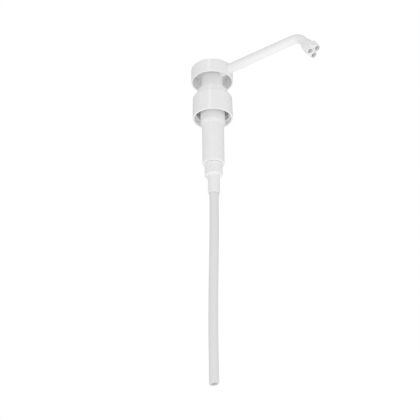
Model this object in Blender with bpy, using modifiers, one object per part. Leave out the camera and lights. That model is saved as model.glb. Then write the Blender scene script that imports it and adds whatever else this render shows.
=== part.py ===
"""Condiment pump dispenser: a long-spout, three-hole sauce pump with a captive screw cap.

Metres, +Z up. The origin is on the pump's axis, at the plane where the container's rim
meets the neck gasket. The spout points along +X. Lengths are written in millimetres and
turned to metres by MM.
"""

from math import cos, pi, radians, sin, sqrt, tan

import bmesh
import bpy
from mathutils import Matrix, Vector

MM = 0.001

# ---------------------------------------------------------------- driving dimensions (mm)
REST_GAP = 0.3  # between pieces that touch on the real object
RUN_GAP = 0.15  # around a seal's lip that runs in a bore
SLIDE_GAP = 0.25  # around a stem or a sleeve that slides
OUTER_STEPS = 44  # sides of a large turned piece
INNER_STEPS = 24  # sides of a small or hidden turned piece

CAP_BORE_R = 19.6
CAP_WALL = 2.0
CAP_TAPER = 0.4
CAP_TALL = 26.0
CAP_PANEL_THICK = 1.6
CAP_EDGE_ROUND = 1.4
THREAD_PITCH = 4.23  # six turns to the inch
THREAD_TURNS = 1.5
THREAD_DEEP = 1.45
THREAD_WIRE_R = 0.95
THREAD_START = 5.0  # first turn above the cap's rim

GASKET_THICK = 1.2
GASKET_INSET = 1.0  # inside the cap's bore
FLANGE_INSET = 1.4
FLANGE_THICK = 2.0

HUB_R = 11.8  # the head's sleeve
HUB_WALL = 1.5
HUB_LOW = -3.0

CHIMNEY_WALL = 2.1
CHIMNEY_TALL = 9.1  # above the flange
SNAP_BEAD = 0.5  # how far the snap bead stands out of the chimney
SNAP_BEAD_TALL = 1.0
SNAP_BEAD_DEPTH = 3.6  # below the chimney's top
SLEEVE_WALL = 1.1
SLEEVE_LOW = -26.6
SLEEVE_FLOOR_THICK = 2.1

BORE_R = 10.0  # the pump's cylinder
CYLINDER_WALL = 1.8
CYLINDER_DRAFT = 0.25
CYLINDER_LOW = -76.4  # underside of the cylinder's floor
CONE_TALL = 4.5  # from the sleeve to the cylinder
FLOOR_THICK = 2.0
FLOOR_HOLE_R = 3.6
VENT_R = 0.9
VENT_Z = -10.0

COLLAR_WALL = 2.0
COLLAR_TALL = 8.5
COLLAR_LIP = 1.3  # thickness of the inner lip at its top
COLLAR_EDGE_ROUND = 1.0

HEAD_LIFT = 11.8  # from the collar's top to the head's rim, at rest
HEAD_TALL = 16.2
HEAD_RIM_R = 22.8
HEAD_TOP_R = 22.7
HEAD_WALL = 1.5
HEAD_TOP_THICK = 1.6
HEAD_EDGE_ROUND = 0.9
SPRING_SEAT_DEPTH = 13.9  # from the head's top to the spring's upper seat
SOCKET_WALL = 2.2
SOCKET_LOW = 12.0

STEM_R = 4.5
STEM_BORE_R = 2.4
STEM_END_STEP = 0.7  # how much wider the stem is where the piston sits
STOP_REACH = 2.3  # how far a stop stands out of the stem
STOP_THICK = 1.5
PISTON_TOP = -44.5
PISTON_TALL = 9.0
PISTON_WAIST = 1.6  # from the bore to the piston's middle

DISCHARGE_BALL_R = 2.75
DISCHARGE_SPACE = 0.65  # round the ball
DISCHARGE_HOLE_R = 1.5
DISCHARGE_LIFT = 2.0
FOOT_BALL_R = 4.0
FOOT_SPACE = 1.4
FOOT_SEAT_HOLE_R = 2.6

GUIDE_DISC_THICK = 3.0
GUIDE_BUSH_WALL = 1.2
GUIDE_BUSH_TALL = 7.2
WIPER_TALL = 2.7
WIPER_FIT = 0.2  # between the wiper and its pocket
WIPER_LIP_SHARE = 0.45  # how much of the wiper's width its hollow side takes

SPRING_WIRE_R = 0.65
SPRING_INSET = 1.3  # from the sleeve's bore to the middle of the wire
SPRING_COILS = 9
SPRING_GUIDE_GAP = 0.75  # between the spring's wire and the stem guide inside it

SPOUT_ROOT_R = 5.15
SPOUT_END_R = 4.75
SPOUT_BORE_R = 3.3
SPOUT_TILT = 4.6  # degrees above level
SPOUT_REACH = 100.3  # from the pump's axis to the bend, along the spout
SPOUT_BEND_R = 13.3
SPOUT_DROP = 58.0  # degrees below level after the bend
SPOUT_TAIL = 9.6  # straight end after the bend
SPOUT_AXIS_DEPTH = 8.0  # from the head's top to the spout's middle, at the pump's axis
SPOUT_ROOT_FILLET = 1.6

OUTLET_R = 3.7
OUTLET_BORE_R = 2.9
OUTLET_CIRCLE_R = 4.76
OUTLET_TALL = 10.2
NOZZLE_TOP_WALL = 0.4
NOZZLE_SLEEVE_LOW_R = 6.7
NOZZLE_GRIP = 5.5  # how far the sleeve runs up the spout
NOZZLE_CHAMBER_TALL = 3.2
NOZZLE_WEB_R = 6.6  # fills the space between the outlets
NOZZLE_WEB_RECESS = 1.6  # from the outlets' face to the web

SPIGOT_WALL = 1.5
SPIGOT_TALL = 8.6
SEAL_WIRE_R = 0.45
FOOT_WALL = 1.8
FOOT_TALL = 13.2
FOOT_BEAD = 0.5
FOOT_BEAD_TALL = 1.5
RIB_STAND = 0.6  # how far a rib stands out of the sleeve
RIB_WIDE = 2.2
GUSSET_TALL = 3.6  # below the sleeve's underside
FOOT_TURN = 17.0  # degrees: where the four ribs stand, seen from above
POCKET_WIDE = 3.6  # shallow moulded pocket beside one rib
POCKET_TALL = 5.4
POCKET_DEEP = 0.9
POCKET_TURN = -56.0  # degrees, seen from above
POCKET_RISE = 3.9  # its middle above the sleeve's underside

DIP_R = 4.75
DIP_WALL = 1.05
DIP_SOCKET_WALL = 1.1
DIP_SOCKET_LOW = -111.0
DIP_SOCKET_DEPTH = 18.5
DIP_LOW = -313.4
DIP_BOW = 2.9  # sideways drift of the lower end
DIP_BOW_SPAN = 160.0
DIP_BOW_TURN = 212.0  # degrees: the way it drifts, seen from above
DIP_CUT_TILT = 8.5  # degrees, lowest on the side away from the spout

# ---------------------------------------------------------------- radii worked out from them (mm)
CAP_RIM_R = CAP_BORE_R + CAP_WALL
CAP_TOP_R = CAP_RIM_R - CAP_TAPER
THREAD_R = CAP_BORE_R - THREAD_DEEP
GASKET_R = CAP_BORE_R - GASKET_INSET
FLANGE_R = CAP_BORE_R - FLANGE_INSET

SLEEVE_BORE_R = HUB_R + REST_GAP
SLEEVE_R = SLEEVE_BORE_R + SLEEVE_WALL
CHIMNEY_R = SLEEVE_BORE_R + CHIMNEY_WALL
COLLAR_R = CHIMNEY_R + REST_GAP + COLLAR_WALL
SPRING_R = HUB_R - HUB_WALL - SPRING_INSET
CYLINDER_R = BORE_R + CYLINDER_WALL

STEM_END_R = STEM_R + STEM_END_STEP
STOP_R = STEM_R + STOP_REACH
SOCKET_R = STEM_R + REST_GAP + SOCKET_WALL
GUIDE_BUSH_R = SPRING_R - SPRING_WIRE_R - SPRING_GUIDE_GAP
WIPER_POCKET_R = GUIDE_BUSH_R - GUIDE_BUSH_WALL
WIPER_R = WIPER_POCKET_R - WIPER_FIT
PISTON_BODY_R = BORE_R - PISTON_WAIST
DISCHARGE_CHAMBER_R = DISCHARGE_BALL_R + DISCHARGE_SPACE

SPIGOT_BORE_R = FOOT_BALL_R + FOOT_SPACE
SPIGOT_R = SPIGOT_BORE_R + SPIGOT_WALL
FOOT_BORE_R = SPIGOT_R + REST_GAP
FOOT_R = FOOT_BORE_R + FOOT_WALL
FOOT_BEAD_R = FOOT_R + FOOT_BEAD
RIB_R = FOOT_R + RIB_STAND
DIP_SOCKET_R = DIP_R + REST_GAP + DIP_SOCKET_WALL
NOZZLE_SLEEVE_TOP_R = SPOUT_END_R + REST_GAP + NOZZLE_TOP_WALL
NOZZLE_CHAMBER_R = SPOUT_END_R - 0.35

# ---------------------------------------------------------------- heights worked out from them (mm)
FLANGE_LOW = GASKET_THICK + REST_GAP
FLANGE_TOP = FLANGE_LOW + FLANGE_THICK
CHIMNEY_TOP = FLANGE_TOP + CHIMNEY_TALL
SNAP_BEAD_Z = CHIMNEY_TOP - SNAP_BEAD_DEPTH
CAP_PANEL_LOW = FLANGE_TOP + REST_GAP
CAP_TOP = CAP_PANEL_LOW + CAP_PANEL_THICK
CAP_LOW = CAP_TOP - CAP_TALL
COLLAR_LOW = CAP_TOP + REST_GAP
COLLAR_TOP = COLLAR_LOW + COLLAR_TALL
HEAD_LOW = COLLAR_TOP + HEAD_LIFT
HEAD_TOP = HEAD_LOW + HEAD_TALL
HEAD_CEILING = HEAD_TOP - HEAD_TOP_THICK
SPOUT_Z = HEAD_TOP - SPOUT_AXIS_DEPTH
SPRING_TOP_SEAT = HEAD_TOP - SPRING_SEAT_DEPTH
STEM_TOP = SPOUT_Z - SPOUT_BORE_R - 1.2

SLEEVE_FLOOR = SLEEVE_LOW + SLEEVE_FLOOR_THICK
GUIDE_DISC_LOW = SLEEVE_FLOOR + REST_GAP
GUIDE_DISC_TOP = GUIDE_DISC_LOW + GUIDE_DISC_THICK
GUIDE_TOP = GUIDE_DISC_TOP + GUIDE_BUSH_TALL
WIPER_LOW = GUIDE_TOP - WIPER_TALL - 0.5
STOP_TOP = GUIDE_DISC_LOW - REST_GAP
PISTON_LOW = PISTON_TOP - PISTON_TALL
STEM_LOW = PISTON_LOW - 0.2
DISCHARGE_SEAT_Z = PISTON_LOW + 2.6
SPIGOT_LOW = CYLINDER_LOW - SPIGOT_TALL
SEAL_Z = SPIGOT_LOW + 3.2
FOOT_TOP = CYLINDER_LOW - REST_GAP
FOOT_LOW = FOOT_TOP - FOOT_TALL
FOOT_FLOOR = SPIGOT_LOW - REST_GAP
FOOT_SEAT_Z = FOOT_FLOOR - 2.4
CAGE_TOP = CYLINDER_LOW - REST_GAP
CAGE_THICK = 1.2

BEND_START = Vector((SPOUT_REACH * cos(radians(SPOUT_TILT)), 0, SPOUT_Z + SPOUT_REACH * sin(radians(SPOUT_TILT))))
BEND_CENTRE = BEND_START + SPOUT_BEND_R * Vector((sin(radians(SPOUT_TILT)), 0, -cos(radians(SPOUT_TILT))))
TAIL_WAY = Vector((cos(radians(SPOUT_DROP)), 0, -sin(radians(SPOUT_DROP))))
BEND_END = BEND_CENTRE + SPOUT_BEND_R * Vector((sin(radians(SPOUT_DROP)), 0, cos(radians(SPOUT_DROP))))
SPOUT_END = BEND_END + SPOUT_TAIL * TAIL_WAY
NOZZLE_FACE_AHEAD = REST_GAP + OUTLET_TALL + 1.0  # from the spout's end to the outlets' face


# ---------------------------------------------------------------- scene helpers
def clear_scene():
    for thing in list(bpy.data.objects):
        bpy.data.objects.remove(thing, do_unlink=True)


def new_collection(name):
    collection = bpy.data.collections.new(name)
    bpy.context.scene.collection.children.link(collection)
    return collection


def material(name, colour, roughness, metallic=0.0):
    made = bpy.data.materials.new(name)
    made.use_nodes = True
    shader = made.node_tree.nodes["Principled BSDF"]
    shader.inputs["Base Color"].default_value = (*colour, 1.0)
    shader.inputs["Roughness"].default_value = roughness
    shader.inputs["Metallic"].default_value = metallic
    made.diffuse_color = (*colour, 1.0)
    return made


clear_scene()
PARTS = new_collection("condiment_pump")
CUTTERS = new_collection("cutters")

GLOSS_WHITE = material("white_gloss_plastic", (0.80, 0.80, 0.80), 0.28)
SATIN_WHITE = material("white_satin_plastic", (0.78, 0.78, 0.78), 0.38)
MILKY = material("milky_tube_plastic", (0.70, 0.70, 0.70), 0.35)
SOFT_SEAL = material("soft_seal_plastic", (0.74, 0.75, 0.76), 0.5)
FOAM = material("gasket_foam", (0.82, 0.82, 0.80), 0.75)
STEEL = material("stainless_steel", (0.62, 0.62, 0.63), 0.25, 1.0)


def add(name, mesh, look, collection=PARTS):
    thing = bpy.data.objects.new(name, mesh)
    collection.objects.link(thing)
    if look:
        thing.data.materials.append(look)
    return thing


def as_cutter(thing):
    """Puts a helper shape among the cutters, which no render or build shows."""
    for collection in list(thing.users_collection):
        collection.objects.unlink(thing)
    CUTTERS.objects.link(thing)
    thing.hide_render = True
    thing.display_type = "WIRE"
    return thing


def combine(target, other, operation):
    as_cutter(other)
    step = target.modifiers.new(f"{operation.lower()}_{other.name}", "BOOLEAN")
    step.operation = operation
    step.solver = "EXACT"
    step.object = other
    return target


def smooth(thing, degrees=35):
    thing.data.shade_smooth()
    thing.data.set_sharp_from_angle(angle=radians(degrees))
    return thing


# ---------------------------------------------------------------- shape helpers
def rounded(corners, arc_points=3):
    """Outline through (r, z, round) corners, with each rounded corner as a short arc."""
    outline = []
    for index, corner in enumerate(corners):
        here = Vector(corner[:2])
        radius = corner[2] if len(corner) > 2 else 0
        if not radius:
            outline.append(here)
            continue
        back = (Vector(corners[index - 1][:2]) - here).normalized()
        on = (Vector(corners[(index + 1) % len(corners)][:2]) - here).normalized()
        half = back.angle(on) / 2
        reach = radius / tan(half)
        centre = here + (back + on).normalized() * (radius / sin(half))
        start = (here + back * reach - centre).normalized()
        end = (here + on * reach - centre).normalized()
        for step in range(arc_points + 1):
            outline.append(centre + radius * start.slerp(end, step / arc_points))
    return outline


def turned(name, corners, look, steps=OUTER_STEPS, closed=True, collection=PARTS):
    """A piece turned about Z from a profile in mm that runs down its outer side."""
    points = rounded(corners)
    mesh = bpy.data.meshes.new(name)
    edges = [(i, i + 1) for i in range(len(points) - 1)]
    if closed:
        edges.append((len(points) - 1, 0))
    mesh.from_pydata([(p.x * MM, 0, p.y * MM) for p in points], edges, [])
    thing = add(name, mesh, look, collection)
    spin = thing.modifiers.new("turn", "SCREW")
    spin.axis = "Z"
    spin.angle = 2 * pi
    spin.steps = steps
    spin.render_steps = steps
    spin.use_merge_vertices = True
    spin.merge_threshold = 1e-6
    spin.use_smooth_shade = True
    return thing


def primitive(name, look, collection, build):
    mesh = bpy.data.meshes.new(name)
    shape = bmesh.new()
    build(shape)
    shape.to_mesh(mesh)
    shape.free()
    return add(name, mesh, look, collection)


def cylinder(name, radius, low, high, look=None, collection=CUTTERS, sides=INNER_STEPS):
    def build(shape):
        bmesh.ops.create_cone(
            shape, cap_ends=True, segments=sides, radius1=radius * MM, radius2=radius * MM, depth=(high - low) * MM
        )
        bmesh.ops.translate(shape, verts=shape.verts, vec=(0, 0, (low + high) / 2 * MM))

    return primitive(name, look, collection, build)


def box(name, size, centre, look=None, collection=CUTTERS):
    def build(shape):
        bmesh.ops.create_cube(shape, size=1.0)
        bmesh.ops.scale(shape, verts=shape.verts, vec=[side * MM for side in size])
        bmesh.ops.translate(shape, verts=shape.verts, vec=[place * MM for place in centre])

    return primitive(name, look, collection, build)


def ball(name, radius, height, look):
    def build(shape):
        bmesh.ops.create_uvsphere(shape, u_segments=16, v_segments=10, radius=radius * MM)

    thing = primitive(name, look, PARTS, build)
    thing.location = (0, 0, height * MM)
    return smooth(thing, 80)


def wire(name, points, radii, look, resolution, capped=True, collection=PARTS):
    """A mesh tube along points in mm, with its own radius at each point."""
    data = bpy.data.curves.new(name, "CURVE")
    data.dimensions = "3D"
    data.bevel_depth = MM
    data.bevel_resolution = resolution
    data.use_fill_caps = capped
    data.twist_mode = "MINIMUM"
    spline = data.splines.new("POLY")
    spline.points.add(len(points) - 1)
    for knot, point, radius in zip(spline.points, points, radii):
        knot.co = (*(Vector(point) * MM), 1.0)
        knot.radius = radius
    guide = bpy.data.objects.new(name + "_path", data)
    collection.objects.link(guide)
    bpy.context.view_layer.update()
    mesh = bpy.data.meshes.new_from_object(guide.evaluated_get(bpy.context.evaluated_depsgraph_get()))
    place = guide.matrix_world.copy()
    bpy.data.objects.remove(guide, do_unlink=True)
    bpy.data.curves.remove(data)
    shape = bmesh.new()
    shape.from_mesh(mesh)
    bmesh.ops.remove_doubles(shape, verts=shape.verts, dist=1e-6)
    bmesh.ops.recalc_face_normals(shape, faces=shape.faces)
    shape.to_mesh(mesh)
    shape.free()
    mesh.name = name
    mesh.materials.clear()
    thing = add(name, mesh, look, collection)
    thing.matrix_world = place
    return thing


def seat_height(ball_r, hole_r, hole_z):
    """Height of a ball's middle over a 45 degree seat that starts at a hole's edge, with REST_GAP."""
    return hole_z - hole_r + (ball_r + REST_GAP) * sqrt(2)


# ---------------------------------------------------------------- head and spout
def spout_point(along):
    """A point of the spout's straight run, along mm from the pump's axis."""
    tilt = radians(SPOUT_TILT)
    return Vector((along * cos(tilt), 0, SPOUT_Z + along * sin(tilt)))


def spout_bend(steps):
    """Points round the bend, from its start to its end."""
    turn = SPOUT_TILT + SPOUT_DROP
    for step in range(steps + 1):
        angle = radians(SPOUT_TILT - turn * step / steps)
        yield BEND_CENTRE + SPOUT_BEND_R * Vector((-sin(angle), 0, cos(angle)))


def spout_skin():
    """Points and radii of the spout's outside: a fillet at its root, then a long taper."""
    points, radii = [spout_point(HUB_R - 2)], [SPOUT_ROOT_R]
    wall = HEAD_RIM_R - HEAD_WALL
    points.append(spout_point(wall))
    radii.append(SPOUT_ROOT_R)
    for step in range(6):
        angle = radians(90 * step / 5)
        points.append(spout_point(wall + 0.9 + SPOUT_ROOT_FILLET * sin(angle)))
        radii.append(SPOUT_ROOT_R + SPOUT_ROOT_FILLET * (1 - sin(angle)) * 0.8)
    points += [spout_point((wall + SPOUT_REACH) / 2)]
    radii += [(SPOUT_ROOT_R + SPOUT_END_R) / 2]
    bend = list(spout_bend(10))
    points += bend + [SPOUT_END]
    radii += [SPOUT_END_R] * (len(bend) + 1)
    return points, radii


def head_with_spout():
    head = turned(
        "head_with_spout",
        [
            (0, HEAD_TOP),
            (HEAD_TOP_R, HEAD_TOP, HEAD_EDGE_ROUND),
            (HEAD_RIM_R, HEAD_LOW),
            (HEAD_RIM_R - HEAD_WALL, HEAD_LOW),
            (HEAD_TOP_R - HEAD_WALL, HEAD_CEILING, 0.6),
            (HUB_R, HEAD_CEILING, 0.6),
            (HUB_R, HUB_LOW),
            (HUB_R - HUB_WALL, HUB_LOW),
            (HUB_R - HUB_WALL, SPRING_TOP_SEAT),
            (SOCKET_R, SPRING_TOP_SEAT),
            (SOCKET_R, SOCKET_LOW),
            (STEM_R + REST_GAP, SOCKET_LOW),
            (STEM_R + REST_GAP, STEM_TOP + REST_GAP),
            (STEM_BORE_R, STEM_TOP + REST_GAP),
            (STEM_BORE_R, SPOUT_Z),
            (0, SPOUT_Z),
        ],
        GLOSS_WHITE,
        closed=False,
    )
    points, radii = spout_skin()
    skin = wire("spout_skin", points, radii, GLOSS_WHITE, 4)
    combine(head, skin, "UNION")
    inside = [spout_point(-STEM_BORE_R), spout_point(SPOUT_REACH / 2)]
    inside += list(spout_bend(10)) + [SPOUT_END + TAIL_WAY]
    bore = wire("spout_bore", inside, [SPOUT_BORE_R] * len(inside), None, 3)
    combine(head, bore, "DIFFERENCE")
    return head


def three_hole_nozzle():
    """Modelled with its outlets' face at the origin and +Z back up the spout, then placed."""
    sleeve_top = NOZZLE_FACE_AHEAD + NOZZLE_GRIP
    spout_seat = NOZZLE_FACE_AHEAD - REST_GAP
    nozzle = turned(
        "three_hole_nozzle",
        [
            (0, sleeve_top),
            (NOZZLE_SLEEVE_TOP_R, sleeve_top, 0.2),
            (NOZZLE_SLEEVE_LOW_R, OUTLET_TALL),
            (NOZZLE_WEB_R, NOZZLE_WEB_RECESS),
            (0, NOZZLE_WEB_RECESS),
        ],
        GLOSS_WHITE,
        steps=INNER_STEPS,
        closed=False,
    )
    turns = [radians(90 + 120 * number) for number in range(3)]
    for number, turn in enumerate(turns):
        centre = (OUTLET_CIRCLE_R * sin(turn) * MM, OUTLET_CIRCLE_R * cos(turn) * MM, 0)
        tube = turned(
            f"outlet_{number}",
            [(0, OUTLET_TALL), (OUTLET_R, OUTLET_TALL, 1.0), (OUTLET_R, 0), (0, 0)],
            None,
            steps=24,
            closed=False,
        )
        tube.location = centre
        combine(nozzle, tube, "UNION")
    combine(nozzle, cylinder("nozzle_chamber", NOZZLE_CHAMBER_R, spout_seat - NOZZLE_CHAMBER_TALL, spout_seat + 1), "DIFFERENCE")
    combine(nozzle, cylinder("spout_seat", SPOUT_END_R + REST_GAP, spout_seat, sleeve_top + 1), "DIFFERENCE")
    for number, turn in enumerate(turns):
        hole = cylinder(f"outlet_hole_{number}", OUTLET_BORE_R, -1, OUTLET_TALL - 1.0, sides=22)
        hole.location = (OUTLET_CIRCLE_R * sin(turn) * MM, OUTLET_CIRCLE_R * cos(turn) * MM, 0)
        combine(nozzle, hole, "DIFFERENCE")
    face = (SPOUT_END + NOZZLE_FACE_AHEAD * TAIL_WAY) * MM
    up = -TAIL_WAY
    across = Vector((0, 1, 0))
    outward = across.cross(up)
    place = Matrix((outward, across, up)).transposed().to_4x4()
    place.translation = face
    helpers = [step.object for step in nozzle.modifiers if step.type == "BOOLEAN"]
    for thing in [nozzle, *helpers]:
        thing.matrix_world = place @ Matrix.Translation(thing.location)
    return nozzle


# ---------------------------------------------------------------- plunger
def plunger_stem():
    ball_top = seat_height(DISCHARGE_BALL_R, DISCHARGE_HOLE_R, DISCHARGE_SEAT_Z) + DISCHARGE_BALL_R
    chamber_top = ball_top + DISCHARGE_LIFT + REST_GAP
    stem = turned(
        "plunger_stem",
        [
            (STEM_R, STEM_TOP),
            (STEM_R, STOP_TOP),
            (STOP_R, STOP_TOP),
            (STOP_R, STOP_TOP - STOP_THICK),
            (STEM_R, STOP_TOP - STOP_THICK),
            (STEM_R, PISTON_TOP + REST_GAP + STOP_THICK),
            (STOP_R, PISTON_TOP + REST_GAP + STOP_THICK),
            (STOP_R, PISTON_TOP + REST_GAP),
            (STEM_END_R, PISTON_TOP + REST_GAP),
            (STEM_END_R, STEM_LOW),
            (DISCHARGE_CHAMBER_R, STEM_LOW),
            (DISCHARGE_CHAMBER_R, chamber_top),
            (STEM_BORE_R, chamber_top),
            (STEM_BORE_R, STEM_TOP),
        ],
        SATIN_WHITE,
        steps=INNER_STEPS,
    )
    for number in range(2):
        slot = box(f"flow_slot_{number}", (2 * DISCHARGE_CHAMBER_R - 0.6, 1.2, 3), (0, 0, chamber_top + 0.8))
        slot.rotation_euler = (0, 0, radians(90 * number))
        combine(stem, slot, "DIFFERENCE")
    return stem


def piston_seal():
    lip_r = BORE_R - RUN_GAP
    inside = STEM_END_R + REST_GAP
    return turned(
        "piston_seal",
        [
            (lip_r, PISTON_TOP),
            (lip_r, PISTON_TOP - 0.8),
            (PISTON_BODY_R, PISTON_TOP - 3.0),
            (PISTON_BODY_R, PISTON_LOW + 3.2),
            (lip_r, PISTON_LOW + 0.8),
            (lip_r, PISTON_LOW),
            (lip_r - 0.8, PISTON_LOW),
            (PISTON_BODY_R - 1.0, PISTON_LOW + 2.0),
            (inside, PISTON_LOW + 2.0),
            (inside, PISTON_TOP - 1.4),
            (PISTON_BODY_R - 0.6, PISTON_TOP - 1.4),
            (lip_r - 0.8, PISTON_TOP),
        ],
        SOFT_SEAL,
        steps=INNER_STEPS,
    )


def discharge_valve_seat():
    seat_z = DISCHARGE_SEAT_Z
    spigot_r = DISCHARGE_CHAMBER_R - 0.2
    hole_r = DISCHARGE_HOLE_R
    return turned(
        "discharge_valve_seat",
        [
            (spigot_r, seat_z + 1.4),
            (spigot_r, STEM_LOW - REST_GAP),
            (PISTON_BODY_R - 1.2, STEM_LOW - REST_GAP),
            (PISTON_BODY_R - 1.2, STEM_LOW - REST_GAP - 1.7, 0.4),
            (hole_r + 0.8, STEM_LOW - REST_GAP - 1.7),
            (hole_r, STEM_LOW - REST_GAP - 0.9),
            (hole_r, seat_z),
            (hole_r + 1.4, seat_z + 1.4),
        ],
        SATIN_WHITE,
        steps=INNER_STEPS,
    )


def stem_guide():
    bore = STEM_R + SLIDE_GAP
    pocket_floor = WIPER_LOW - REST_GAP
    return turned(
        "stem_guide",
        [
            (GUIDE_BUSH_R, GUIDE_TOP, 0.3),
            (GUIDE_BUSH_R, GUIDE_DISC_TOP),
            (SLEEVE_BORE_R - 0.2, GUIDE_DISC_TOP),
            (SLEEVE_BORE_R - 0.2, GUIDE_DISC_LOW),
            (BORE_R - 0.2, GUIDE_DISC_LOW),
            (BORE_R - 0.2, GUIDE_DISC_LOW - 2.0),
            (BORE_R - 1.2, GUIDE_DISC_LOW - 2.0),
            (BORE_R - 1.2, GUIDE_DISC_LOW),
            (bore, GUIDE_DISC_LOW),
            (bore, pocket_floor),
            (WIPER_POCKET_R, pocket_floor),
            (WIPER_POCKET_R, GUIDE_TOP),
        ],
        SATIN_WHITE,
        steps=INNER_STEPS,
    )


def stem_wiper():
    low = WIPER_LOW
    bore = STEM_R + RUN_GAP
    hollow_r = bore + WIPER_LIP_SHARE * (WIPER_R - bore)
    return turned(
        "stem_wiper",
        [
            (WIPER_R, low + WIPER_TALL),
            (WIPER_R, low),
            (bore, low),
            (bore, low + 0.5),
            (hollow_r, low + 1.0),
            (hollow_r, low + WIPER_TALL - 0.8),
            (bore, low + WIPER_TALL),
        ],
        SOFT_SEAL,
        steps=INNER_STEPS,
    )


def return_spring():
    """Closed end coils, then an even pitch between them."""
    low = GUIDE_DISC_TOP + REST_GAP + SPRING_WIRE_R
    high = SPRING_TOP_SEAT - REST_GAP - SPRING_WIRE_R
    closed_rise = 2 * SPRING_WIRE_R * 1.12
    per_turn = 14
    total_turns = SPRING_COILS + 2
    free_rise = (high - low - 2 * closed_rise) / SPRING_COILS
    points = []
    height = low
    for step in range(total_turns * per_turn + 1):
        turn = 2 * pi * step / per_turn
        points.append((SPRING_R * cos(turn), SPRING_R * sin(turn), height))
        at_end = step < per_turn or step >= (total_turns - 1) * per_turn
        height += (closed_rise if at_end else free_rise) / per_turn
    return smooth(wire("return_spring", points, [SPRING_WIRE_R] * len(points), STEEL, 2), 80)


# ---------------------------------------------------------------- cap, collar and gasket
def screw_cap():
    panel_hole_r = CHIMNEY_R + 0.4
    cap = turned(
        "screw_cap",
        [
            (CAP_TOP_R, CAP_TOP, CAP_EDGE_ROUND),
            (CAP_RIM_R, CAP_LOW, 0.3),
            (CAP_BORE_R + 0.4, CAP_LOW),
            (CAP_BORE_R, CAP_LOW + 2.0),
            (CAP_BORE_R - 0.2, CAP_PANEL_LOW),
            (panel_hole_r, CAP_PANEL_LOW),
            (panel_hole_r, CAP_TOP),
        ],
        GLOSS_WHITE,
    )
    ridge_r = THREAD_R + THREAD_WIRE_R
    steps = 24
    points = []
    for step in range(int(steps * THREAD_TURNS) + 1):
        turn = 2 * pi * step / steps
        height = CAP_LOW + THREAD_START + THREAD_PITCH * step / steps
        points.append((ridge_r * cos(turn), ridge_r * sin(turn), height))
    radii = [THREAD_WIRE_R] * len(points)
    radii[0] = radii[-1] = THREAD_WIRE_R * 0.75
    ridge = wire("thread_ridge", points, radii, None, 1)
    return combine(cap, ridge, "UNION")


def lock_collar():
    chimney_bore = CHIMNEY_R + REST_GAP
    groove_r = chimney_bore + SNAP_BEAD
    return turned(
        "lock_collar",
        [
            (COLLAR_R, COLLAR_TOP, COLLAR_EDGE_ROUND),
            (COLLAR_R, COLLAR_LOW),
            (chimney_bore, COLLAR_LOW),
            (chimney_bore, SNAP_BEAD_Z - SNAP_BEAD_TALL / 2 - 0.4),
            (groove_r, SNAP_BEAD_Z - SNAP_BEAD_TALL / 2 - 0.4),
            (groove_r, SNAP_BEAD_Z + SNAP_BEAD_TALL / 2 + 0.4),
            (chimney_bore, SNAP_BEAD_Z + SNAP_BEAD_TALL / 2 + 0.4),
            (chimney_bore, COLLAR_TOP - COLLAR_LIP),
            (SLEEVE_BORE_R + 0.1, COLLAR_TOP - COLLAR_LIP),
            (SLEEVE_BORE_R + 0.1, COLLAR_TOP, 0.4),
        ],
        GLOSS_WHITE,
    )


def neck_gasket():
    return turned(
        "neck_gasket",
        [
            (GASKET_R, GASKET_THICK),
            (GASKET_R, 0),
            (SLEEVE_R + 0.5, 0),
            (SLEEVE_R + 0.5, GASKET_THICK),
        ],
        FOAM,
        steps=INNER_STEPS,
    )


# ---------------------------------------------------------------- pump body
def pump_body():
    cylinder_end_r = CYLINDER_R - CYLINDER_DRAFT
    groove_r = SPIGOT_R - 2 * SEAL_WIRE_R + 0.1
    body = turned(
        "pump_body",
        [
            (CHIMNEY_R, CHIMNEY_TOP),
            (CHIMNEY_R, SNAP_BEAD_Z + SNAP_BEAD_TALL / 2),
            (CHIMNEY_R + SNAP_BEAD, SNAP_BEAD_Z),
            (CHIMNEY_R, SNAP_BEAD_Z - SNAP_BEAD_TALL / 2),
            (CHIMNEY_R, FLANGE_TOP),
            (FLANGE_R, FLANGE_TOP),
            (FLANGE_R, FLANGE_LOW),
            (SLEEVE_R, FLANGE_LOW),
            (SLEEVE_R, SLEEVE_LOW),
            (CYLINDER_R, SLEEVE_LOW - CONE_TALL),
            (cylinder_end_r, CYLINDER_LOW, 1.2),
            (SPIGOT_R, CYLINDER_LOW),
            (SPIGOT_R, SEAL_Z + SEAL_WIRE_R + 0.3),
            (groove_r, SEAL_Z + SEAL_WIRE_R + 0.3),
            (groove_r, SEAL_Z - SEAL_WIRE_R - 0.3),
            (SPIGOT_R, SEAL_Z - SEAL_WIRE_R - 0.3),
            (SPIGOT_R, SPIGOT_LOW),
            (SPIGOT_BORE_R, SPIGOT_LOW),
            (SPIGOT_BORE_R, CYLINDER_LOW),
            (FLOOR_HOLE_R, CYLINDER_LOW),
            (FLOOR_HOLE_R, CYLINDER_LOW + FLOOR_THICK),
            (BORE_R, CYLINDER_LOW + FLOOR_THICK),
            (BORE_R, SLEEVE_FLOOR),
            (SLEEVE_BORE_R, SLEEVE_FLOOR),
            (SLEEVE_BORE_R, CHIMNEY_TOP),
        ],
        SATIN_WHITE,
        steps=OUTER_STEPS,
    )
    vent = cylinder("vent_hole", VENT_R, -2 * SLEEVE_R, 2 * SLEEVE_R, sides=12)
    vent.matrix_world = Matrix.Translation((0, 0, VENT_Z * MM)) @ Matrix.Rotation(pi / 2, 4, "X")
    return combine(body, vent, "DIFFERENCE")


def foot_seal_ring():
    middle = SPIGOT_R + REST_GAP - SEAL_WIRE_R - 0.1
    sides = 10
    turns = [-2 * pi * number / sides for number in range(sides)]
    ring = [(middle + SEAL_WIRE_R * cos(turn), SEAL_Z + SEAL_WIRE_R * sin(turn)) for turn in turns]
    return turned("foot_seal_ring", ring, SOFT_SEAL, steps=INNER_STEPS)


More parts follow.
